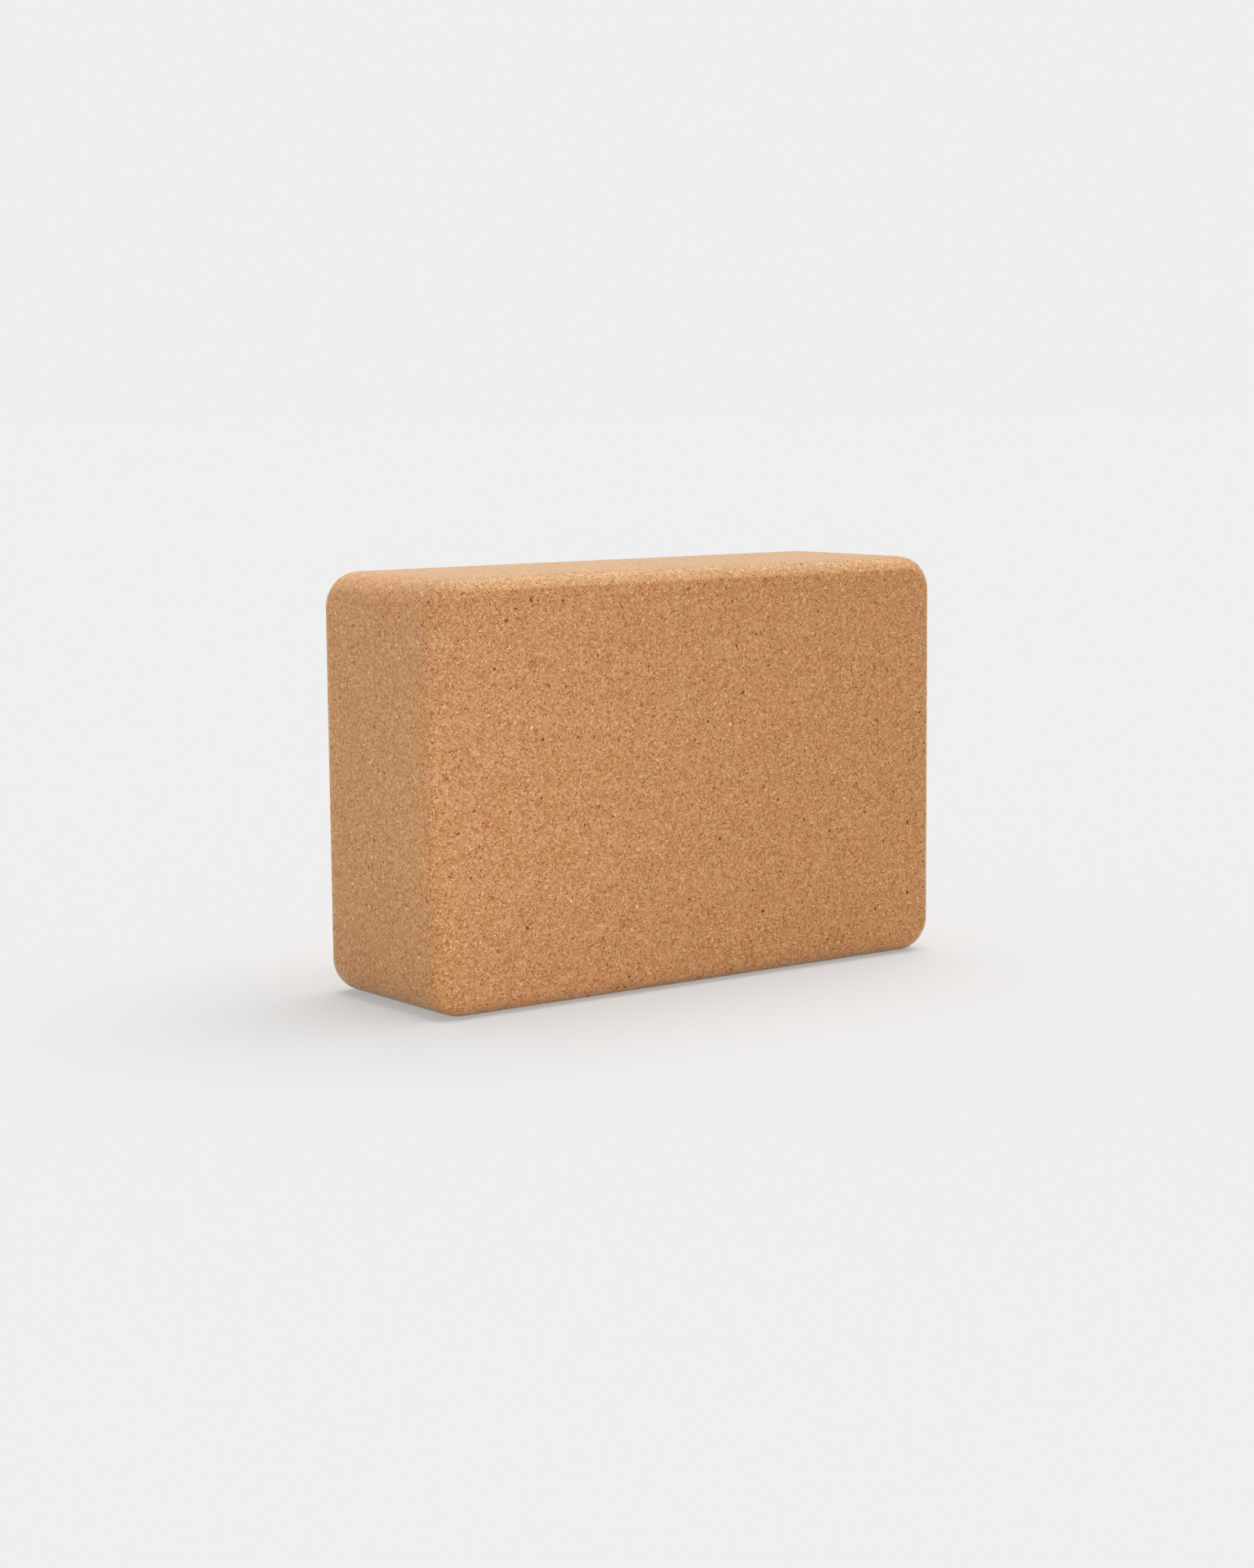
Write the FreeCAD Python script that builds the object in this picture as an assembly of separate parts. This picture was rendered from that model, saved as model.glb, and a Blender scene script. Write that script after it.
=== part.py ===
import FreeCAD, Part
import math
import os

# Yoga block: one brick of bonded cork granules, moulded, cut square, bevelled and sanded.
# It stands on a long narrow side. X runs along the length, Y through the thickness
# and Z up the height. The origin is the middle of the underside.

# Driving dimensions, in millimetres
LENGTH = 228.0
HEIGHT = 152.0
THICKNESS = 76.0

# Rounding of the four corners of the broad faces, right through the thickness
CORNER_RADIUS = 13.0

# Leg of the 45 degree bevel that runs round both broad faces
BEVEL = 5.0

# Rounding of the bevel's two edges: crisp on the broad face, worn soft on the narrow sides
FACE_SHOULDER_RADIUS = 2.0
SIDE_SHOULDER_RADIUS = 6.0

# Planes of the broad faces, and of the bevel's edges on the narrow sides
FRONT = -THICKNESS / 2
BACK = THICKNESS / 2
FRONT_BEVEL_END = FRONT + BEVEL
BACK_BEVEL_END = BACK - BEVEL

# How close an edge lies to a plane to count as in it
IN_PLANE = 0.001


def corner_centres():
    """Centres of the outline's corner arcs, counter-clockwise from the lower right, seen from the front."""
    across = LENGTH / 2 - CORNER_RADIUS
    low = CORNER_RADIUS
    high = HEIGHT - CORNER_RADIUS
    return [
        FreeCAD.Vector(across, FRONT, low),
        FreeCAD.Vector(across, FRONT, high),
        FreeCAD.Vector(-across, FRONT, high),
        FreeCAD.Vector(-across, FRONT, low),
    ]


def on_corner(centre, degrees):
    """Point of a corner arc at an angle from +X towards +Z."""
    angle = math.radians(degrees)
    return centre + FreeCAD.Vector(math.cos(angle), 0, math.sin(angle)) * CORNER_RADIUS


def broad_outline():
    """Closed wire of a broad face before bevelling: four straight sides joined by quarter circles."""
    centres = corner_centres()
    edges = []
    for index, centre in enumerate(centres):
        start = 90 * index - 90
        following = centres[(index + 1) % len(centres)]
        arc = Part.Arc(on_corner(centre, start), on_corner(centre, start + 45), on_corner(centre, start + 90))
        side = Part.LineSegment(on_corner(centre, start + 90), on_corner(following, start + 90))
        edges += [arc.toShape(), side.toShape()]
    return Part.Wire(edges)


def edges_in_planes(shape, *planes):
    """Edges of a shape that lie wholly in one of the given planes square to Y."""
    chosen = []
    for edge in shape.Edges:
        box = edge.BoundBox
        if any(abs(box.YMin - plane) < IN_PLANE and abs(box.YMax - plane) < IN_PLANE for plane in planes):
            chosen.append(edge)
    return chosen


def cork_block():
    """The whole block: the outline drawn through the thickness, bevelled, then eased at both shoulders."""
    brick = Part.Face(broad_outline()).extrude(FreeCAD.Vector(0, THICKNESS, 0))
    bevelled = brick.makeChamfer(BEVEL, edges_in_planes(brick, FRONT, BACK))
    side_edges = edges_in_planes(bevelled, FRONT_BEVEL_END, BACK_BEVEL_END)
    softened = bevelled.makeFillet(SIDE_SHOULDER_RADIUS, side_edges)
    face_edges = edges_in_planes(softened, FRONT, BACK)
    eased = softened.makeFillet(FACE_SHOULDER_RADIUS, face_edges)
    return eased.Solids[0]


os.makedirs("parts", exist_ok=True)
block = cork_block()
block.exportStep("parts/cork_block.step")
print("cork_block", block.ShapeType, "valid", block.isValid(), "volume cm3", round(block.Volume / 1000, 1))
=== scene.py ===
"""A cork yoga block: one bevelled brick of bonded granules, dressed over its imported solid."""
import logging
import math
import random
from collections.abc import Mapping, Sequence
from dataclasses import dataclass
from enum import Enum
from typing import NamedTuple

import bmesh
import bpy
from mathutils import Color, Matrix, Vector, kdtree, noise


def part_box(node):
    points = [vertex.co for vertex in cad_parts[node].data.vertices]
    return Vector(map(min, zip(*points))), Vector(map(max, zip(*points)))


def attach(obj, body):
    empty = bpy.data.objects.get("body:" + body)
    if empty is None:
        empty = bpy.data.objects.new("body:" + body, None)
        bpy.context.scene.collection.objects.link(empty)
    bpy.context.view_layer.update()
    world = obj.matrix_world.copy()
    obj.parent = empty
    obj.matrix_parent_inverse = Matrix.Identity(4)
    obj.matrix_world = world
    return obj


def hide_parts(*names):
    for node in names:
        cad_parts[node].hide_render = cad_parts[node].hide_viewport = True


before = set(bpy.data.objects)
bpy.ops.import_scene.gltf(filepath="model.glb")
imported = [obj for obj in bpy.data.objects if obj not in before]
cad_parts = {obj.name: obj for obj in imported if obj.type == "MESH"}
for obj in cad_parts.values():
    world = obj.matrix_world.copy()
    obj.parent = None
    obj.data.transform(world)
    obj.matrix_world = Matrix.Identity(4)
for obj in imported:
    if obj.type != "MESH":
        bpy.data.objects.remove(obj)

log = logging.getLogger("yoga_block")

MM = 0.001
BLOCK_NODE = "cork_block"
BODY = "root"

# The lightest display value
DISPLAY_WHITE = 255

# The Mix node's first, second and result sockets by number, because their names repeat
MIX_NUMBERS = (2, 3, 0)
MIX_COLOURS = (6, 7, 2)

# A step along a 45 degree bevel, measured along either face that the bevel joins
DIAGONAL = math.sqrt(0.5)

# The parts of a vector that are kept: of the broad faces' outline, of the thickness, and of a chip's plan
OUTLINE_AXES = (1.0, 0.0, 1.0)
THICKNESS_AXIS = (0.0, 1.0, 0.0)
PLAN_AXES = (1.0, 1.0, 0.0)

UP = (0.0, 0.0, 1.0)
NOUGHT = (0.0, 0.0, 0.0)
MIDDLE_OF_NOISE = (0.5, 0.5, 0.5)
WHITE = (1.0, 1.0, 1.0, 1.0)

# Keeps a division clear of nought
TINY = 1e-6

# The most corners that a face may have
QUAD_CORNERS = 4

Colour = tuple[float, float, float, float]
Node = bpy.types.Node
Socket = bpy.types.NodeSocket
Sizes = Mapping[str, Socket]

# What a node's input takes: a plain value, or another node's socket
Value = object


class Cork(Enum):
    """Tones of cork, as they look under plain light, in display values from 0 to 255."""

    BARK = (104, 38, 4)
    UMBER = (134, 72, 25)
    BROWN = (153, 95, 48)
    RUST = (174, 117, 70)
    TAN = (194, 140, 94)
    HONEY = (209, 159, 117)
    STRAW = (223, 178, 139)
    CREAM = (240, 201, 166)

    @property
    def linear(self) -> Colour:
        """The tone in the renderer's linear values."""
        return linear_colour(*self.value)


def linear_colour(*shown: float) -> Colour:
    """Turns red, green and blue as displayed, from 0 to 255, into the renderer's linear values, opaque."""
    display = Color([channel / DISPLAY_WHITE for channel in shown])
    return (*display.from_srgb_to_scene_linear(), 1.0)


class Blend(Enum):
    """How a second colour is laid on a first."""

    MIX = "MIX"
    MULTIPLY = "MULTIPLY"


class Tree:
    """A node tree that is filled through short calls."""

    def __init__(self, tree: bpy.types.NodeTree) -> None:
        """Keeps a tree and empties it."""
        tree.nodes.clear()
        self.tree = tree

    def node(self, kind: str, inputs: Mapping | None = None, **settings: Value) -> Node:
        """Adds one node.

        Args:
            kind: the node's type.
            inputs: values or sockets for its inputs, by the input's name or number.
            settings: properties of the node itself.

        Returns:
            The new node.
        """
        node = self.tree.nodes.new(kind)
        for name, value in settings.items():
            setattr(node, name, value)
        for key, value in (inputs or {}).items():
            if isinstance(value, Socket):
                self.tree.links.new(value, node.inputs[key])
            else:
                node.inputs[key].default_value = value
        return node

    def math(self, operation: str, *values: Value) -> Socket:
        """Result of a Math node on up to three values or sockets."""
        return self.node("ShaderNodeMath", dict(enumerate(values)), operation=operation).outputs[0]

    def minus(self, value: Value) -> Socket:
        """A number with its sign turned."""
        return self.math("MULTIPLY", value, -1.0)

    def vector(self, operation: str, *values: Value) -> Socket:
        """Vector result of a Vector Math node on up to three values or sockets."""
        return self.node("ShaderNodeVectorMath", dict(enumerate(values)), operation=operation).outputs[0]

    def measure(self, operation: str, *values: Value) -> Socket:
        """Number that a Vector Math node gives for one or two vectors."""
        node = self.node("ShaderNodeVectorMath", dict(enumerate(values)), operation=operation)
        return node.outputs["Value"]

    def scaled(self, vector: Value, factor: Value) -> Socket:
        """A vector times a number."""
        inputs = {0: vector, "Scale": factor}
        return self.node("ShaderNodeVectorMath", inputs, operation="SCALE").outputs[0]

    def joined(self, x: Value = 0.0, y: Value = 0.0, z: Value = 0.0) -> Socket:
        """The vector of three numbers."""
        return self.node("ShaderNodeCombineXYZ", {0: x, 1: y, 2: z}).outputs[0]

    def parts(self, vector: Value) -> Sequence[Socket]:
        """The three numbers of a vector."""
        return self.node("ShaderNodeSeparateXYZ", {0: vector}).outputs

    def ranged(self, value: Value, low: Value, high: Value, start: Value = 0.0, end: Value = 1.0,
               smooth: bool = True) -> Socket:
        """Maps a value from one range to another, held at the ends.

        Args:
            value: what is mapped.
            low: the value that gives start.
            high: the value that gives end.
            start: result at low.
            end: result at high.
            smooth: whether the run between them is eased.

        Returns:
            The mapped value.
        """
        inputs = {"Value": value, "From Min": low, "From Max": high, "To Min": start, "To Max": end}
        kind = "SMOOTHSTEP" if smooth else "LINEAR"
        return self.node("ShaderNodeMapRange", inputs, interpolation_type=kind).outputs[0]

    def between(self, factor: Value, first: Value, second: Value) -> Socket:
        """A number between two others, the first at a factor of 0 and the second at 1."""
        start, end, result = MIX_NUMBERS
        return self.node("ShaderNodeMix", {0: factor, start: first, end: second}).outputs[result]

    def mixed(self, factor: Value, first: Value, second: Value, blend: Blend = Blend.MIX) -> Socket:
        """Mixes two colours.

        Args:
            factor: share of the second colour.
            first: the colour at a factor of 0.
            second: the colour at a factor of 1.
            blend: how the second is laid on the first.

        Returns:
            The mixed colour.
        """
        start, end, result = MIX_COLOURS
        inputs = {0: factor, start: first, end: second}
        return self.node("ShaderNodeMix", inputs, data_type="RGBA", blend_type=blend.value).outputs[result]

    def ramp(self, value: Value, stops: Sequence[tuple[float, Colour]]) -> Socket:
        """Colours a value from 0 to 1.

        Args:
            value: the value.
            stops: places on the ramp and their colours, in order, the first at 0 and the last at 1.

        Returns:
            The colour.
        """
        node = self.node("ShaderNodeValToRGB", {0: value})
        elements = node.color_ramp.elements
        for place, _ in stops[1:-1]:
            elements.new(place)
        for element, (_, colour) in zip(elements, stops):
            element.color = colour
        return node.outputs[0]

    def noise(self, place: Value, scale: float, detail: float = 2.0) -> Node:
        """Smooth noise, whose detail says how many finer layers it has."""
        return self.node("ShaderNodeTexNoise", {"Vector": place, "Scale": scale, "Detail": detail})

    def stir(self, place: Value, scale: float) -> Socket:
        """A smoothly changing vector, each part of it from -0.5 to 0.5."""
        return self.vector("SUBTRACT", self.noise(place, scale).outputs["Color"], MIDDLE_OF_NOISE)


class MaterialTree(Tree):
    """A new material, and the tree that makes its looks."""

    def __init__(self, name: str) -> None:
        """Makes the material.

        Args:
            name: the material's name.
        """
        self.material = bpy.data.materials.new(name)
        self.material.use_nodes = True
        super().__init__(self.material.node_tree)

    def place(self) -> Socket:
        """Where each spot lies on the object."""
        return self.node("ShaderNodeTexCoord").outputs["Object"]

    def attribute(self, name: str) -> Socket:
        """A number that the mesh holds under a name."""
        return self.node("ShaderNodeAttribute", attribute_name=name).outputs["Fac"]

    def bump(self, height: Value, strength: float, depth: float) -> Socket:
        """Normals of a surface with a fine relief."""
        inputs = {"Strength": strength, "Distance": depth, "Height": height}
        return self.node("ShaderNodeBump", inputs).outputs[0]

    def close(self, surface: Node) -> bpy.types.Material:
        """Leads a shader out, and gives the finished material."""
        self.node("ShaderNodeOutputMaterial", {"Surface": surface.outputs[0]})
        return self.material


class CellSign(Enum):
    """What irregular cells tell of a spot: its cell's own random colour, or how near the cell's edge is."""

    COLOUR = "F1"
    EDGE = "DISTANCE_TO_EDGE"


@dataclass(frozen=True)
class CorkFinish:
    """Sanded section through bonded cork granules, the same all through the block."""

    name: str = "bonded_cork"
    torn_attribute: str = "torn"

    # Sizes of the fibre, of the cells from grit to granules, and of the slow drifts of tone
    fibre: float = 0.30 * MM
    grit: float = 0.33 * MM
    grit_stretch: float = 2.4
    crumb: float = 0.66 * MM
    granule: float = 1.25 * MM
    nest: float = 2.2 * MM
    lump: float = 9.0 * MM

    # How far the cells' outlines stray, and how often along a granule
    ragged: float = 0.30 * MM
    strays: float = 0.7

    # How many cells show as crumbs and as granules, and how fully they hide the grit
    crumb_share: float = 0.45
    crumb_weight: float = 0.6
    granule_share: float = 0.22
    granule_weight: float = 0.5

    # Tones from the darkest to the lightest spot, and the tints that they drift between
    tone_stops: tuple[tuple[float, Cork], ...] = (
        (0.0, Cork.BARK), (0.03, Cork.UMBER), (0.075, Cork.BROWN), (0.2, Cork.RUST),
        (0.5, Cork.TAN), (0.82, Cork.HONEY), (0.95, Cork.STRAW), (1.0, Cork.CREAM))
    red_tint: Colour = (1.02, 0.905, 0.84, 1.0)
    olive_tint: Colour = (0.98, 0.98, 0.86, 1.0)
    drift_weight: float = 0.8
    hue_weight: float = 0.5
    tint_range: tuple[float, float] = (0.4, 0.9)

    # How fibre lightens and darkens the tones
    fibre_detail: float = 1.0
    fibre_range: tuple[float, float] = (0.25, 0.75)
    fibre_shades: tuple[float, float] = (0.84, 1.16)

    # Joints between granules, and hollows where granules were torn out, whose darker colour is painted shade
    joint_width: float = 0.08 * MM
    joint_shade: float = 0.18
    torn_range: tuple[float, float] = (0.15, 0.9)
    torn_painted_shade: float = 0.65

    # Fine relief, and the shares of it that the tone and the joints make
    relief: float = 0.06 * MM
    relief_strength: float = 0.4
    tone_relief: float = 0.6
    joint_relief: float = 0.4

    # Gloss
    specular: float = 0.34
    specular_tint: Colour = (0.88, 1.0, 0.40, 1.0)
    roughness: float = 0.36
    roughness_spread: float = 0.14
    sheen: float = 0.28
    sheen_roughness: float = 0.28
    sheen_tint: Colour = (0.95, 1.0, 0.42, 1.0)

    def material(self) -> bpy.types.Material:
        """Makes the cork.

        Returns:
            The material.
        """
        tree = MaterialTree(self.name)
        place = tree.place()
        ragged = self.ragged_place(tree, place)
        grit = self.cells(tree, self.grained_place(tree, ragged), self.grit)
        crumb = self.cells(tree, ragged, self.crumb)
        granule = self.cells(tree, ragged, self.granule)
        gap = self.cells(tree, ragged, self.granule, CellSign.EDGE)
        tone, hue = self.tones(tree, (grit, crumb, granule))
        joint = tree.ranged(gap.outputs["Distance"], 0.0, self.joint_width / self.granule)
        colour = self.colour(tree, place, tone, hue, joint)
        # Painted shade: the torn hollows' colour is darkened towards umber, standing in for the shade inside
        # them
        torn = tree.ranged(tree.attribute(self.torn_attribute), *self.torn_range, 0.0, self.torn_painted_shade)
        colour = tree.mixed(torn, colour, Cork.UMBER.linear)
        joint_height = tree.math("MULTIPLY", joint, self.joint_relief)
        height = tree.math("MULTIPLY_ADD", tone, self.tone_relief, joint_height)
        spread = self.roughness_spread / 2
        rough = tree.ranged(tone, 0.0, 1.0, self.roughness + spread, self.roughness - spread, smooth=False)
        return tree.close(tree.node("ShaderNodeBsdfPrincipled", {
            "Base Color": colour, "Roughness": rough,
            "Normal": tree.bump(height, self.relief_strength, self.relief),
            "Specular IOR Level": self.specular, "Specular Tint": self.specular_tint,
            "Sheen Weight": self.sheen, "Sheen Roughness": self.sheen_roughness,
            "Sheen Tint": self.sheen_tint}))

    def cells(self, tree: Tree, place: Value, size: float, sign: CellSign = CellSign.COLOUR) -> Node:
        """Irregular cells of one size."""
        inputs = {"Vector": place, "Scale": 1 / size}
        return tree.node("ShaderNodeTexVoronoi", inputs, feature=sign.value, voronoi_dimensions="3D")

    def ragged_place(self, tree: Tree, place: Value) -> Socket:
        """Shifts places a little, so that cells get ragged outlines."""
        stir = tree.stir(place, self.strays / self.granule)
        return tree.vector("ADD", place, tree.scaled(stir, 2 * self.ragged))

    def grained_place(self, tree: Tree, place: Value) -> Socket:
        """Turns and shortens places by another angle in each nest, so that grit looks like strokes of grain.

        Args:
            tree: the material's tree.
            place: the place.

        Returns:
            The turned place, shortened along the grain.
        """
        nest = self.cells(tree, place, self.nest)
        turn = tree.scaled(nest.outputs["Color"], math.tau)
        inputs = {"Vector": place, "Rotation": turn}
        turned = tree.node("ShaderNodeVectorRotate", inputs, rotation_type="EULER_XYZ")
        return tree.vector("MULTIPLY", turned.outputs[0], (1.0, 1.0, 1 / self.grit_stretch))

    def tones(self, tree: Tree, sizes: Sequence[Node]) -> tuple[Socket, Socket]:
        """Picks each spot's lightness and hue from its granule, or from the finer stuff between granules.

        Args:
            tree: the material's tree.
            sizes: cells of grit, of crumbs and of granules.

        Returns:
            Lightness from 0 to 1, and hue from 0, red, to 1, olive.
        """
        lots = [tree.node("ShaderNodeSeparateColor", {0: cells.outputs["Color"]}).outputs for cells in sizes]
        grit, crumb, granule = lots
        is_crumb = tree.math("LESS_THAN", crumb[2], self.crumb_share)
        fine = tree.between(tree.math("MULTIPLY", is_crumb, self.crumb_weight), grit[0], crumb[0])
        is_granule = tree.math("LESS_THAN", granule[2], self.granule_share)
        granule_part = tree.math("MULTIPLY", is_granule, self.granule_weight)
        return tree.between(granule_part, fine, granule[0]), granule[1]

    def colour(self, tree: Tree, place: Value, tone: Value, hue: Value, joint: Value) -> Socket:
        """Colours the granules.

        Args:
            tree: the material's tree.
            place: the true place, for slow drifts of tone.
            tone: lightness of the granule.
            hue: hue of the granule.
            joint: 0 in the joints between granules and 1 inside them.

        Returns:
            The base colour.
        """
        ramp = tree.ramp(tone, [(stop, cork.linear) for stop, cork in self.tone_stops])
        drift = tree.noise(place, 1 / self.lump).outputs["Fac"]
        hue_part = tree.math("MULTIPLY", hue, self.hue_weight)
        blend = tree.math("MULTIPLY_ADD", drift, self.drift_weight, hue_part)
        tint = tree.mixed(tree.ranged(blend, *self.tint_range), self.red_tint, self.olive_tint)
        tinted = tree.mixed(1.0, ramp, tint, Blend.MULTIPLY)
        fibre = tree.noise(place, 1 / self.fibre, self.fibre_detail).outputs["Fac"]
        worn = tree.scaled(tinted, tree.ranged(fibre, *self.fibre_range, *self.fibre_shades, smooth=False))
        shade = tree.ranged(joint, 0.0, 1.0, self.joint_shade, 0.0, smooth=False)
        return tree.mixed(shade, worn, Cork.BROWN.linear)


@dataclass(frozen=True)
class GranuleFinish:
    """One kind of granule that stands out from the rest: bark, or pale inner cork."""

    name: str
    darkest: Cork
    lightest: Cork
    roughness: float
    specular: float = 0.2
    grain: float = 0.35 * MM
    relief: float = 0.05 * MM
    relief_strength: float = 0.4
    tone_attribute: str = "tone"

    # How far the fibre and the granule's own tone lighten it, and up to what sum it stays darkest
    fibre_weight: float = 0.5
    tone_weight: float = 0.75
    dark_end: float = 0.1

    def material(self) -> bpy.types.Material:
        """Makes the granules' finish.

        Returns:
            The material.
        """
        tree = MaterialTree(self.name)
        fibre = tree.noise(tree.place(), 1 / self.grain).outputs["Fac"]
        tone = tree.math("MULTIPLY", tree.attribute(self.tone_attribute), self.tone_weight)
        share = tree.math("MULTIPLY_ADD", fibre, self.fibre_weight, tone)
        lightness = tree.ranged(share, self.dark_end, 1.0, smooth=False)
        return tree.close(tree.node("ShaderNodeBsdfPrincipled", {
            "Base Color": tree.mixed(lightness, self.darkest.linear, self.lightest.linear),
            "Roughness": self.roughness, "Specular IOR Level": self.specular,
            "Normal": tree.bump(fibre, self.relief_strength, self.relief)}))


class InputKind(Enum):
    """Kinds of a tree's named inputs."""

    SIZE = "NodeSocketFloat"
    WHOLE_NUMBER = "NodeSocketInt"
    MATERIAL = "NodeSocketMaterial"


class Domain(Enum):
    """What has a stored number each."""

    POINT = "POINT"
    INSTANCE = "INSTANCE"


class GeometryTree(Tree):
    """A Geometry Nodes tree with named inputs."""

    def __init__(self, name: str, geometry_input: bool) -> None:
        """Makes an empty tree.

        Args:
            name: the tree's name.
            geometry_input: whether it starts from the mesh that it is put on.
        """
        super().__init__(bpy.data.node_groups.new(name, "GeometryNodeTree"))
        self.tree.is_modifier = True
        ends = ("OUTPUT", "INPUT") if geometry_input else ("OUTPUT",)
        for end in ends:
            self.tree.interface.new_socket("Geometry", in_out=end, socket_type="NodeSocketGeometry")
        self.entry = self.node("NodeGroupInput")
        self.identifiers: dict[str, str] = {}
        self.values: dict[str, Value] = {}

    def size(self, name: str, value: Value, kind: InputKind = InputKind.SIZE) -> Socket:
        """Adds a named input.

        Args:
            name: what the input sets.
            value: its value on this object.
            kind: what kind of input it is.

        Returns:
            The input's socket inside the tree.
        """
        item = self.tree.interface.new_socket(name, in_out="INPUT", socket_type=kind.value)
        self.identifiers[name] = item.identifier
        self.values[name] = value
        return next(socket for socket in self.entry.outputs if socket.identifier == item.identifier)

    def position(self) -> Socket:
        """Where each point lies."""
        return self.node("GeometryNodeInputPosition").outputs[0]

    def normal(self) -> Socket:
        """The way out of the surface."""
        return self.node("GeometryNodeInputNormal").outputs[0]

    def attribute(self, name: str) -> Socket:
        """A number that the geometry holds under a name."""
        node = self.node("GeometryNodeInputNamedAttribute", {"Name": name}, data_type="FLOAT")
        return node.outputs["Attribute"]

    def stored(self, geometry: Value, name: str, value: Value, domain: Domain) -> Socket:
        """Geometry that holds numbers under a name."""
        inputs = {"Geometry": geometry, "Name": name, "Value": value}
        return self.node("GeometryNodeStoreNamedAttribute", inputs, data_type="FLOAT",
                         domain=domain.value).outputs[0]

    def moved(self, geometry: Value, offset: Value) -> Socket:
        """Geometry with its points moved."""
        return self.node("GeometryNodeSetPosition", {"Geometry": geometry, "Offset": offset}).outputs[0]

    def close(self, geometry: Socket, material: Socket) -> None:
        """Realizes what was made, gives it its material and leads it out.

        Args:
            geometry: what was made.
            material: the input that holds the material.
        """
        real = self.node("GeometryNodeRealizeInstances", {0: geometry})
        dressed = self.node("GeometryNodeSetMaterial", {"Geometry": real.outputs[0], "Material": material})
        self.node("NodeGroupOutput", {0: dressed.outputs[0]})

    def apply(self, piece: bpy.types.Object) -> None:
        """Runs the tree on an object and leaves the result as its plain mesh, without empty material slots.

        Args:
            piece: the object, whose mesh is replaced.
        """
        modifier = piece.modifiers.new(self.tree.name, "NODES")
        modifier.node_group = self.tree
        for name, identifier in self.identifiers.items():
            modifier[identifier] = self.values[name]
        graph = bpy.context.evaluated_depsgraph_get()
        made = bpy.data.meshes.new_from_object(piece.evaluated_get(graph))
        for index in reversed(range(len(made.materials))):
            if made.materials[index] is None:
                made.materials.pop(index=index)
        piece.modifiers.remove(modifier)
        spare = piece.data
        piece.data = made
        made.name = piece.name
        bpy.data.meshes.remove(spare)


def new_piece(name: str, mesh: bpy.types.Mesh | None = None) -> bpy.types.Object:
    """Puts a new object at the origin.

    Args:
        name: the piece's name.
        mesh: its mesh, or None for an empty one.

    Returns:
        The object.
    """
    piece = bpy.data.objects.new(name, mesh or bpy.data.meshes.new(name))
    bpy.context.scene.collection.objects.link(piece)
    return piece


class Pit(NamedTuple):
    """One torn hollow: its middle, the way out of it, and its radius."""

    centre: Vector
    outward: Vector
    radius: float


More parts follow.
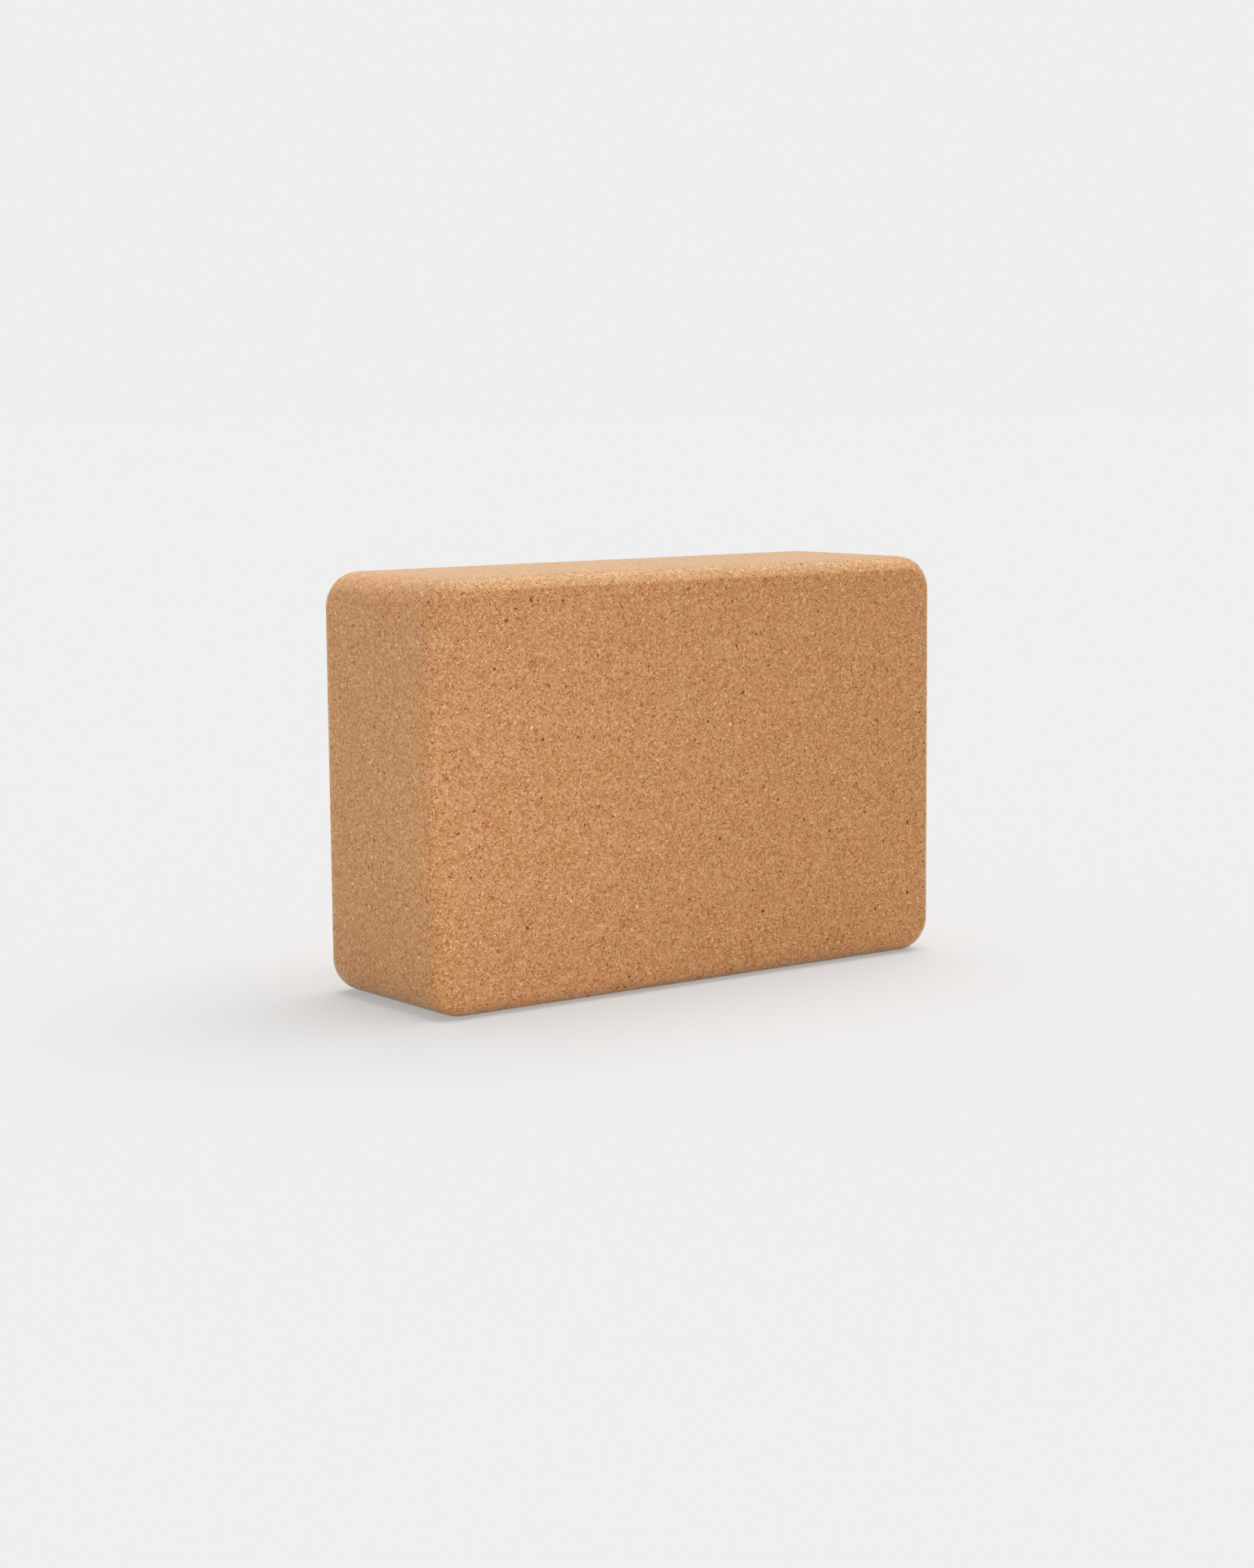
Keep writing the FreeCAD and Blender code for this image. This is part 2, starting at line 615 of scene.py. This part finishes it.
@dataclass(frozen=True)
class TornPits:
    """Small hollows where granules were torn out, many of them in stretches along the broad faces' edges."""

    count: int = 170
    smallest: float = 0.35 * MM
    largest: float = 1.2 * MM
    rarity: int = 3
    depth_share: float = 0.55
    seed: int = 11

    # How much likelier a hollow is on an edge, and the range of Y in the normals of an edge's faces
    edge_pull: float = 90.0
    edge_lean: tuple[float, float] = (0.74, 0.985)

    # Size of the stretches that the edge wears in, and the noise up to which it stays whole
    stretch: float = 30.0 * MM
    calm: float = 0.05

    # How far the outline strays as a share of the radius, and the size of its strays
    ragged: float = 0.35
    ragged_size: float = 0.8 * MM

    # How far round a hollow the skin is split finer, and by how many cuts
    margin: float = 0.8 * MM
    splits: int = 2

    def cut(self, mesh: bpy.types.Mesh, attribute: str) -> None:
        """Cuts the hollows into a mesh.

        Args:
            mesh: a closed skin of small faces.
            attribute: the point attribute that tells how deep in a hollow a point lies, from 0 to 1.
        """
        build = bmesh.new()
        build.from_mesh(mesh)
        pits = self.places(build)
        self.refine(build, pits)
        layer = build.verts.layers.float.new(attribute)
        self.hollow(build, pits, layer)
        build.normal_update()
        build.to_mesh(mesh)
        build.free()

    def places(self, build: bmesh.types.BMesh) -> list[Pit]:
        """Picks where the hollows go.

        Args:
            build: the skin.

        Returns:
            The hollows.
        """
        draw = random.Random(self.seed)
        build.faces.ensure_lookup_table()
        weights = []
        least, most = self.edge_lean
        for face in build.faces:
            rough = noise.noise(face.calc_center_median() / self.stretch) > self.calm
            on_edge = least < abs(face.normal.y) < most
            weights.append(face.calc_area() * (1 + self.edge_pull * (rough and on_edge)))
        chosen = draw.choices(range(len(build.faces)), weights, k=self.count)
        pits = []
        for index in chosen:
            face = build.faces[index]
            radius = self.smallest + (self.largest - self.smallest) * draw.random() ** self.rarity
            pits.append(Pit(face.calc_center_median(), face.normal.copy(), radius))
        return pits

    def refine(self, build: bmesh.types.BMesh, pits: Sequence[Pit]) -> None:
        """Splits the faces round each hollow finer.

        Args:
            build: the skin.
            pits: the hollows.
        """
        tree = kdtree.KDTree(len(build.faces))
        for face in build.faces:
            tree.insert(face.calc_center_median(), face.index)
        tree.balance()
        near = set()
        for pit in pits:
            reach = pit.radius * (1 + self.ragged) + self.margin
            near.update(index for _, index, _ in tree.find_range(pit.centre, reach))
        edges = {edge for index in near for edge in build.faces[index].edges}
        bmesh.ops.subdivide_edges(build, edges=list(edges), cuts=self.splits, use_grid_fill=True)
        uneven = [face for face in build.faces if len(face.verts) > QUAD_CORNERS]
        bmesh.ops.triangulate(build, faces=uneven, ngon_method="BEAUTY")

    def hollow(self, build: bmesh.types.BMesh, pits: Sequence[Pit], layer: bmesh.types.BMLayerItem) -> None:
        """Presses the hollows in.

        Args:
            build: the skin.
            pits: the hollows.
            layer: the points' depth layer, which is filled here.
        """
        build.verts.ensure_lookup_table()
        tree = kdtree.KDTree(len(build.verts))
        for vertex in build.verts:
            vertex[layer] = 0.0
            tree.insert(vertex.co, vertex.index)
        tree.balance()
        for pit in pits:
            for place, index, distance in tree.find_range(pit.centre, pit.radius * (1 + self.ragged)):
                stir = noise.noise(place / self.ragged_size) * self.ragged
                share = max(0.0, 1 - (distance / (pit.radius * (1 + stir))) ** 2)
                vertex = build.verts[index]
                vertex.co -= pit.outward * pit.radius * self.depth_share * share
                vertex[layer] = max(vertex[layer], share)


class Draw(Enum):
    """The random numbers that are drawn for each granule, by their place among the seed's own draws."""

    SHAPE = 1
    TONE = 2
    TURN = 3
    LENGTH = 4
    WIDTH = 5


class Number(Enum):
    """Kinds of random number, each with the node's input for the least one and its output."""

    FLOAT = (2, 1)
    INT = (4, 2)


@dataclass(frozen=True)
class GranuleScatter:
    """Granules that stand out from the rest, lying flush in the block's surface."""

    name: str
    finish: GranuleFinish
    per_square_metre: float
    smallest: float
    largest: float
    rarity: float
    seed: int
    seed_step: float = 10.0

    # How far a granule stands out of the surface and goes into it, and how torn its spot may be
    proud: float = 0.02 * MM
    buried: float = 0.2 * MM
    torn_limit: float = 0.02

    # The chips that granules are picked from: cones one unit across, with ragged outlines
    shapes: int = 4
    sides: int = 7
    radius: float = 0.5
    taper: float = 0.8
    narrowest: float = 0.5
    ragged: float = 0.45
    strays: float = 2.2
    first_shape: Vector = Vector((0.0, 3.0, 1.0))
    next_shape: Vector = Vector((7.0, 0.0, 0.0))
    cap_attribute: str = "cap"

    def build(self, skin: bpy.types.Object, torn_attribute: str) -> bpy.types.Object:
        """Scatters the granules over the block, clear of its hollows.

        Args:
            skin: the block's finished skin.
            torn_attribute: the skin's point attribute that is above 0 in a hollow.

        Returns:
            The granules, as one piece.
        """
        piece = new_piece(self.name, skin.data.copy())
        tree = GeometryTree(self.name, geometry_input=True)
        density = tree.size("Density", self.per_square_metre)
        smallest = tree.size("Smallest", self.smallest)
        largest = tree.size("Largest", self.largest)
        proud = tree.size("Proud", self.proud)
        buried = tree.size("Buried", self.buried)
        seed = tree.size("Seed", self.seed, InputKind.WHOLE_NUMBER)
        material = tree.size("Material", self.finish.material(), InputKind.MATERIAL)
        whole = tree.math("LESS_THAN", tree.attribute(torn_attribute), self.torn_limit)
        spots = tree.node("GeometryNodeDistributePointsOnFaces", {
            "Mesh": tree.entry.outputs[0], "Density": tree.math("MULTIPLY", density, whole), "Seed": seed},
            distribute_method="RANDOM")
        laid = tree.node("GeometryNodeInstanceOnPoints", {
            "Points": spots.outputs["Points"],
            "Instance": self.chips(tree, proud, buried), "Pick Instance": True,
            "Instance Index": self.draw(tree, Number.INT, 0, self.shapes - 1, seed, Draw.SHAPE),
            "Rotation": self.spin(tree, spots.outputs["Rotation"], seed),
            "Scale": self.scale(tree, smallest, largest, seed)})
        tone = self.draw(tree, Number.FLOAT, 0.0, 1.0, seed, Draw.TONE)
        toned = tree.stored(laid.outputs[0], self.finish.tone_attribute, tone, Domain.INSTANCE)
        tree.close(self.bedded(tree, toned, proud, buried), material)
        tree.apply(piece)
        return piece

    def bedded(self, tree: GeometryTree, laid: Value, proud: Value, buried: Value) -> Socket:
        """Bends the granules to the surface, with every cap as far out of it and every foot as deep in it.

        Args:
            tree: the scatter's tree.
            laid: the granules as they were laid, each flat on its spot.
            proud: how far a cap stands out of the surface.
            buried: how deep a foot goes in.

        Returns:
            The granules, lying flush.
        """
        real = tree.node("GeometryNodeRealizeInstances", {0: laid})
        skin = tree.entry.outputs[0]
        out = tree.node("GeometryNodeSampleNearestSurface", {"Mesh": skin, "Value": tree.normal()},
                        data_type="FLOAT_VECTOR").outputs[0]
        nearest = tree.node("GeometryNodeProximity", {0: skin}, target_element="FACES").outputs[0]
        height = tree.measure("DOT_PRODUCT", tree.vector("SUBTRACT", tree.position(), nearest), out)
        is_cap = tree.attribute(self.cap_attribute)
        level = tree.ranged(is_cap, 0.0, 1.0, tree.minus(buried), proud, smooth=False)
        return tree.moved(real.outputs[0], tree.scaled(out, tree.math("SUBTRACT", level, height)))

    def draw(self, tree: GeometryTree, kind: Number, low: Value, high: Value, seed: Value,
             turn: Draw) -> Socket:
        """A random number for each granule.

        Args:
            tree: the scatter's tree.
            kind: the kind of number.
            low: the least it can be.
            high: the most it can be.
            seed: the scatter's seed.
            turn: which of the scatter's draws this is.

        Returns:
            The number.
        """
        least, result = kind.value
        own_seed = tree.math("MULTIPLY_ADD", seed, self.seed_step, float(turn.value))
        inputs = {least: low, least + 1: high, "Seed": own_seed}
        return tree.node("FunctionNodeRandomValue", inputs, data_type=kind.name).outputs[result]

    def spin(self, tree: GeometryTree, rotation: Value, seed: Value) -> Socket:
        """Adds a turn about the surface's normal to the rotation that lays a granule on the surface."""
        turn = tree.node("FunctionNodeAxisAngleToRotation", {
            "Axis": UP, "Angle": self.draw(tree, Number.FLOAT, 0.0, math.tau, seed, Draw.TURN)})
        return tree.node("FunctionNodeRotateRotation", {0: rotation, 1: turn.outputs[0]},
                         rotation_space="LOCAL").outputs[0]

    def scale(self, tree: GeometryTree, smallest: Value, largest: Value, seed: Value) -> Socket:
        """Draws each granule's length and width, with many small ones and few large.

        Args:
            tree: the scatter's tree.
            smallest: the least length.
            largest: the greatest length.
            seed: the scatter's seed.

        Returns:
            The scale, which leaves the thickness alone.
        """
        lot = self.draw(tree, Number.FLOAT, 0.0, 1.0, seed, Draw.LENGTH)
        length = tree.ranged(tree.math("POWER", lot, self.rarity), 0.0, 1.0, smallest, largest, smooth=False)
        slimness = self.draw(tree, Number.FLOAT, self.narrowest, 1.0, seed, Draw.WIDTH)
        return tree.joined(length, tree.math("MULTIPLY", length, slimness), 1.0)

    def chips(self, tree: GeometryTree, proud: Value, buried: Value) -> Socket:
        """Makes the few shapes that the granules are picked from, with the points of their caps marked.

        Args:
            tree: the scatter's tree.
            proud: how far a granule stands out of the surface.
            buried: how deep it goes in.

        Returns:
            The shapes as instances.
        """
        whole = tree.math("ADD", proud, buried)
        sunk = tree.joined(z=tree.minus(buried))
        join = tree.node("GeometryNodeJoinGeometry")
        for index in range(self.shapes):
            cone = tree.node("GeometryNodeMeshCone", {
                "Vertices": self.sides, "Radius Top": self.radius * self.taper, "Radius Bottom": self.radius,
                "Depth": whole}, fill_type="NGON")
            place = tree.position()
            plan = tree.vector("MULTIPLY", place, PLAN_AXES)
            own_plan = tree.vector("ADD", plan, self.first_shape + self.next_shape * index)
            push = tree.vector("MULTIPLY", tree.stir(own_plan, self.strays), PLAN_AXES)
            shaken = tree.moved(cone.outputs["Mesh"], tree.scaled(push, 2 * self.ragged))
            chip = tree.node("GeometryNodeTransform", {"Geometry": shaken, "Translation": sunk})
            is_cap = tree.math("GREATER_THAN", tree.parts(place)[2], 0.0)
            marked = tree.stored(chip.outputs[0], self.cap_attribute, is_cap, Domain.POINT)
            single = tree.node("GeometryNodeGeometryToInstance", {0: marked})
            tree.tree.links.new(single.outputs[0], join.inputs[0])
        return join.outputs[0]


@dataclass(frozen=True)
class CorkBlock:
    """The block: a brick with rounded corners, bevelled round both broad faces."""

    low: Vector
    high: Vector
    corner_radius: float = 13.0 * MM

    # The bevel, how far it bulges in its middle, and how it eases into the broad faces and the narrow sides
    bevel: float = 5.0 * MM
    bevel_crown: float = 0.25 * MM
    face_shoulder: float = 0.7 * MM
    side_shoulder: float = 3.6 * MM

    # Size of the skin's faces, and how they gather at the bevel's shoulders
    spacing: float = 1.5 * MM
    gather: float = 0.65
    gather_reach: float = 1.8 * MM

    # How far the skin lies inside the true surface, and how uneven its granules lie
    skin_depth: float = 0.11 * MM
    relief: float = 0.04 * MM
    relief_cell: float = 2.4 * MM

    finish: CorkFinish = CorkFinish()
    pits: TornPits = TornPits()
    bark: GranuleScatter = GranuleScatter(
        "bark_granules", GranuleFinish("bark_granule", Cork.BARK, Cork.BROWN, roughness=0.7),
        per_square_metre=13000.0, smallest=0.8 * MM, largest=2.1 * MM, rarity=8.0, seed=3)
    pale: GranuleScatter = GranuleScatter(
        "pale_granules", GranuleFinish("pale_granule", Cork.STRAW, Cork.CREAM, roughness=0.65),
        per_square_metre=14000.0, smallest=0.6 * MM, largest=1.6 * MM, rarity=6.0, seed=5)

    def build(self) -> list[bpy.types.Object]:
        """Builds the skin and the granules that stand out in it.

        Returns:
            The pieces, the skin first.
        """
        skin = new_piece("cork_skin")
        self.skin_tree().apply(skin)
        torn = self.finish.torn_attribute
        self.pits.cut(skin.data, torn)
        return [skin, self.bark.build(skin, torn), self.pale.build(skin, torn)]

    def skin_tree(self) -> GeometryTree:
        """Makes the rule that bends a box of even faces into the block.

        Returns:
            The tree.
        """
        tree = GeometryTree("cork_skin", geometry_input=False)
        extent = self.high - self.low
        values = {
            "Length": extent.x, "Thickness": extent.y, "Height": extent.z,
            "Corner Radius": self.corner_radius, "Bevel": self.bevel, "Bevel Crown": self.bevel_crown,
            "Face Shoulder": self.face_shoulder, "Side Shoulder": self.side_shoulder,
            "Spacing": self.spacing, "Gather": self.gather, "Gather Reach": self.gather_reach,
            "Skin Depth": self.skin_depth, "Relief": self.relief, "Relief Cell": self.relief_cell,
        }
        sizes = {name: tree.size(name, value) for name, value in values.items()}
        material = tree.size("Material", self.finish.material(), InputKind.MATERIAL)
        sides = [sizes[name] for name in ("Length", "Thickness", "Height")]
        steps = [tree.math("CEIL", tree.math("DIVIDE", side, sizes["Spacing"])) for side in sides]
        counts = [tree.math("ADD", step, 1.0) for step in steps]
        extents = tree.joined(*sides)
        box = tree.node("GeometryNodeMeshCube", {
            "Size": extents, "Vertices X": counts[0], "Vertices Y": counts[1], "Vertices Z": counts[2]})
        half = tree.scaled(extents, 0.5)
        lift = tree.joined(z=tree.parts(half)[2])
        place = tree.vector("ADD", self.bevelled_place(tree, half, sizes), lift)
        bent = tree.node("GeometryNodeSetPosition", {"Geometry": box.outputs["Mesh"], "Position": place})
        rough = tree.moved(bent.outputs[0], self.relief_offset(tree, sizes))
        smooth = tree.node("GeometryNodeSetShadeSmooth", {"Geometry": rough})
        tree.close(smooth.outputs[0], material)
        return tree

    def bevelled_place(self, tree: GeometryTree, half: Value, sizes: Sizes) -> Socket:
        """Where a point of the plain box goes, about the block's middle.

        Places are worked out in one eighth of the block, as all eight are alike. What lies past the core, the
        outline's straight part, is pulled in to the bevel and the round corner.

        Args:
            tree: the block's tree.
            half: half the block's size.
            sizes: the tree's sizes, by name.

        Returns:
            The place.
        """
        radius = sizes["Corner Radius"]
        spot = tree.position()
        away = tree.vector("ABSOLUTE", spot)
        core = tree.vector("SUBTRACT", half, tree.joined(x=radius, z=radius))
        over = tree.vector("SUBTRACT", away, core)
        over_x, over_y, over_z = tree.parts(over)
        box_inset = tree.math("SUBTRACT", radius, tree.math("MAXIMUM", over_x, over_z))
        inset, depth = self.edge_profile(tree, box_inset, tree.minus(over_y), sizes)
        past = tree.vector("MULTIPLY", tree.vector("MAXIMUM", over, NOUGHT), OUTLINE_AXES)
        reach = tree.math("MAXIMUM", tree.measure("LENGTH", past), TINY)
        pull = tree.math("DIVIDE", tree.math("SUBTRACT", radius, inset), reach)
        rounded = tree.vector("ADD", tree.vector("MINIMUM", away, core), tree.scaled(past, pull))
        outline = tree.vector("MULTIPLY", rounded, OUTLINE_AXES)
        broad = tree.vector("SUBTRACT", tree.vector("MULTIPLY", half, THICKNESS_AXIS), tree.joined(y=depth))
        return tree.vector("MULTIPLY", tree.vector("ADD", outline, broad), tree.vector("SIGN", spot))

    def edge_profile(self, tree: GeometryTree, inset: Value, depth: Value,
                     sizes: Sizes) -> tuple[Socket, Socket]:
        """Bends the box's square edge into the bevel.

        A point's way from that edge has a part along the bevel, positive towards the broad face, and a part
        square to it. The first is kept, but for the gathering. The second becomes the bevel's own, a little
        crowned, and eases into the face and the side.

        Args:
            tree: the block's tree.
            inset: how far a point lies in from the narrow side.
            depth: how far it lies in from the broad face.
            sizes: the tree's sizes, by name.

        Returns:
            The new inset and depth.
        """
        flat = tree.math("MULTIPLY", sizes["Bevel"], DIAGONAL)
        along = tree.math("MULTIPLY", tree.math("SUBTRACT", inset, depth), DIAGONAL)
        along = self.gathered(tree, along, flat, sizes)
        share = tree.math("DIVIDE", along, flat)
        rise = tree.math("MAXIMUM", tree.math("SUBTRACT", 1.0, tree.math("MULTIPLY", share, share)), 0.0)
        below = tree.math("SUBTRACT", flat, tree.math("MULTIPLY", sizes["Bevel Crown"], rise))
        below = tree.math("SMOOTH_MAX", below, along, sizes["Face Shoulder"])
        below = tree.math("SMOOTH_MAX", below, tree.minus(along), sizes["Side Shoulder"])
        new_inset = tree.math("MULTIPLY", tree.math("ADD", below, along), DIAGONAL)
        new_depth = tree.math("MULTIPLY", tree.math("SUBTRACT", below, along), DIAGONAL)
        return new_inset, new_depth

    def gathered(self, tree: GeometryTree, along: Value, flat: Value, sizes: Sizes) -> Socket:
        """Draws points together at the bevel's two shoulders, where the surface turns.

        Args:
            tree: the block's tree.
            along: places along the bevel's slope.
            flat: where the shoulders are, on either side of 0.
            sizes: the tree's sizes, by name.

        Returns:
            The new places along the slope.
        """
        off = tree.math("SUBTRACT", tree.math("ABSOLUTE", along), flat)
        reaches = tree.math("DIVIDE", off, sizes["Gather Reach"])
        fall = tree.math("EXPONENT", tree.minus(tree.math("MULTIPLY", reaches, reaches)))
        keep = tree.math("SUBTRACT", 1.0, tree.math("MULTIPLY", sizes["Gather"], fall))
        return tree.math("MULTIPLY", tree.math("MULTIPLY_ADD", off, keep, flat), tree.math("SIGN", along))

    def relief_offset(self, tree: GeometryTree, sizes: Sizes) -> Socket:
        """How far each point sinks below the block's true surface, so that granules lie a little uneven.

        Args:
            tree: the block's tree.
            sizes: the tree's sizes, by name.

        Returns:
            The offset.
        """
        inputs = {"Vector": tree.position(), "Scale": tree.math("DIVIDE", 1.0, sizes["Relief Cell"])}
        cells = tree.node("ShaderNodeTexVoronoi", inputs, voronoi_dimensions="3D")
        lot = tree.parts(cells.outputs["Color"])[0]
        sink = tree.math("MULTIPLY_ADD", lot, sizes["Relief"], sizes["Skin Depth"])
        return tree.scaled(tree.normal(), tree.minus(sink))

    def dress(self, pieces: Sequence[bpy.types.Object]) -> None:
        """Puts the pieces on the block's body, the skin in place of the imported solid.

        Args:
            pieces: the pieces, the skin first.
        """
        for piece in pieces:
            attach(piece, BODY)
            triangles = sum(len(face.vertices) - 2 for face in piece.data.polygons)
            log.info("%s: %d triangles", piece.name, triangles)
        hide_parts(BLOCK_NODE)


class LampKind(Enum):
    """The kinds of lamp in the studio."""

    SUN = "SUN"
    SOFTBOX = "AREA"


@dataclass(frozen=True)
class Lamp:
    """One studio lamp, hung in a direction from what it lights."""

    name: str
    kind: LampKind
    direction: Vector
    distance: float
    strength: float
    spread: float
    colour: tuple[float, float, float] = (1.0, 1.0, 1.0)

    def build(self, aim: Vector) -> bpy.types.Object:
        """Hangs the lamp and turns it to what it lights.

        Args:
            aim: the point that it is turned to.

        Returns:
            The lamp.
        """
        light = bpy.data.lights.new(self.name, self.kind.value)
        light.energy = self.strength
        light.color = self.colour
        if self.kind is LampKind.SUN:
            light.angle = self.spread
        else:
            light.shape = "SQUARE"
            light.size = self.spread
        lamp = bpy.data.objects.new(self.name, light)
        lamp.location = aim + self.direction.normalized() * self.distance
        lamp.rotation_euler = self.direction.to_track_quat("Z", "Y").to_euler()
        lamp.visible_camera = False
        lamp.visible_glossy = self.kind is LampKind.SUN
        bpy.context.scene.collection.objects.link(lamp)
        log.info("lamp %s", self.name)
        return lamp


@dataclass(frozen=True)
class Studio:
    """Pale floor, soft light from all round, a broad soft sun, and softboxes round the block."""

    middle: Vector
    floor_reach: float = 60.0
    floor_sides: int = 96
    backdrop: Colour = linear_colour(239, 239, 239)
    floor_colour: Colour = linear_colour(240, 240, 240)
    floor_shown: Colour = linear_colour(213, 213, 213)
    floor_evenness: float = 0.55
    daylight: float = 0.34
    sun: Lamp = Lamp(
        "broad_sun", LampKind.SUN, Vector((0.28, 0.05, 0.96)),
        distance=2.0, strength=0.97 * math.pi, spread=math.radians(70))
    softboxes: tuple[Lamp, ...] = (
        Lamp("front_softbox", LampKind.SOFTBOX, Vector((-0.52, -0.85, -0.10)),
             distance=0.33, strength=0.255, spread=0.08, colour=(0.76, 0.79, 1.0)),
        Lamp("end_softbox", LampKind.SOFTBOX, Vector((-0.97, -0.20, -0.08)),
             distance=0.40, strength=0.12, spread=0.1, colour=(0.94, 0.98, 0.38)),
        Lamp("edge_softbox", LampKind.SOFTBOX, Vector((-0.83, -0.51, 0.22)),
             distance=0.24, strength=0.029, spread=0.05, colour=(0.02, 0.12, 1.0)),
        Lamp("back_softbox", LampKind.SOFTBOX, Vector((-0.15, 0.75, 0.60)),
             distance=0.50, strength=0.95, spread=0.3),
    )

    def build(self, lit_alone: Sequence[bpy.types.Object]) -> None:
        """Lays the floor, lights the room and hangs the lamps.

        Args:
            lit_alone: the pieces that the softboxes light, so that the floor stays even.
        """
        self.floor()
        self.world()
        self.sun.build(self.middle)
        group = bpy.data.collections.new("softbox_subjects")
        for piece in lit_alone:
            group.objects.link(piece)
        for lamp in self.softboxes:
            lamp.build(self.middle).light_linking.receiver_collection = group

    def floor(self) -> None:
        """Lays a wide floor that ends beyond the view, shown part as it is lit and part in one even tone."""
        build = bmesh.new()
        bmesh.ops.create_circle(build, cap_ends=True, segments=self.floor_sides, radius=self.floor_reach)
        mesh = bpy.data.meshes.new("floor")
        build.to_mesh(mesh)
        build.free()
        floor = new_piece("floor", mesh)
        tree = MaterialTree("pale_floor")
        lit = tree.node("ShaderNodeBsdfDiffuse", {"Color": self.floor_colour})
        shown = tree.node("ShaderNodeEmission", {"Color": self.floor_shown, "Strength": 1.0})
        share = tree.math("MULTIPLY", seen_rays(tree), self.floor_evenness)
        mix = tree.node("ShaderNodeMixShader", {0: share, 1: lit.outputs[0], 2: shown.outputs[0]})
        mesh.materials.append(tree.close(mix))
        log.info("floor")

    def world(self) -> None:
        """Lights the room evenly, and shows the backdrop's colour to the camera and in reflections."""
        world = bpy.data.worlds.new("studio")
        bpy.context.scene.world = world
        world.use_nodes = True
        tree = Tree(world.node_tree)
        light = tree.node("ShaderNodeBackground", {"Color": WHITE, "Strength": self.daylight})
        backdrop = tree.node("ShaderNodeBackground", {"Color": self.backdrop, "Strength": 1.0})
        mix = tree.node("ShaderNodeMixShader", {
            0: seen_rays(tree), 1: light.outputs[0], 2: backdrop.outputs[0]})
        tree.node("ShaderNodeOutputWorld", {"Surface": mix.outputs[0]})


def seen_rays(tree: Tree) -> Socket:
    """1 for rays from the camera and for reflected and refracted ones, 0 for the rest."""
    rays = tree.node("ShaderNodeLightPath").outputs
    return tree.math("MAXIMUM", rays["Is Camera Ray"], tree.math(
        "MAXIMUM", rays["Is Glossy Ray"], rays["Is Transmission Ray"]))


@dataclass(frozen=True)
class PhotoCamera:
    """The photograph's view: where the lens stands, where it looks, and how long it is."""

    place: Vector = Vector((-0.6547, -0.8773, 0.2085))
    yaw: float = math.radians(-36.504)
    pitch: float = math.radians(-7.210)
    roll: float = math.radians(0.51)
    focal_pixels: float = 3787.8
    long_side_pixels: float = 2000.0
    sensor: float = 36.0
    nearest: float = 0.01
    farthest: float = 100.0

    # An unturned camera looks straight down, and this lifts it to the level
    lift: float = math.radians(90)

    def build(self) -> None:
        """Sets up the camera and makes it the scene's own."""
        lens = bpy.data.cameras.new("photo_camera")
        lens.sensor_fit = "AUTO"
        lens.sensor_width = self.sensor
        lens.lens = self.focal_pixels / self.long_side_pixels * self.sensor
        lens.clip_start = self.nearest
        lens.clip_end = self.farthest
        camera = bpy.data.objects.new("photo_camera", lens)
        view = Matrix.Translation(self.place)
        for angle, axis in ((self.yaw, "Z"), (self.pitch, "X"), (self.roll, "Y"), (self.lift, "X")):
            view = view @ Matrix.Rotation(angle, 4, axis)
        camera.matrix_world = view
        bpy.context.scene.collection.objects.link(camera)
        bpy.context.scene.camera = camera
        log.info("camera")


def main() -> None:
    """Builds the block, the studio and the camera."""
    logging.basicConfig(level=logging.INFO, format="%(name)s: %(message)s")
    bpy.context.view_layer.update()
    low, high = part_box(BLOCK_NODE)
    PhotoCamera().build()
    block = CorkBlock(low, high)
    pieces = block.build()
    block.dress(pieces)
    Studio((low + high) / 2).build(pieces)
    bpy.context.scene.view_settings.view_transform = "Standard"


if __name__ == "__main__":
    main()
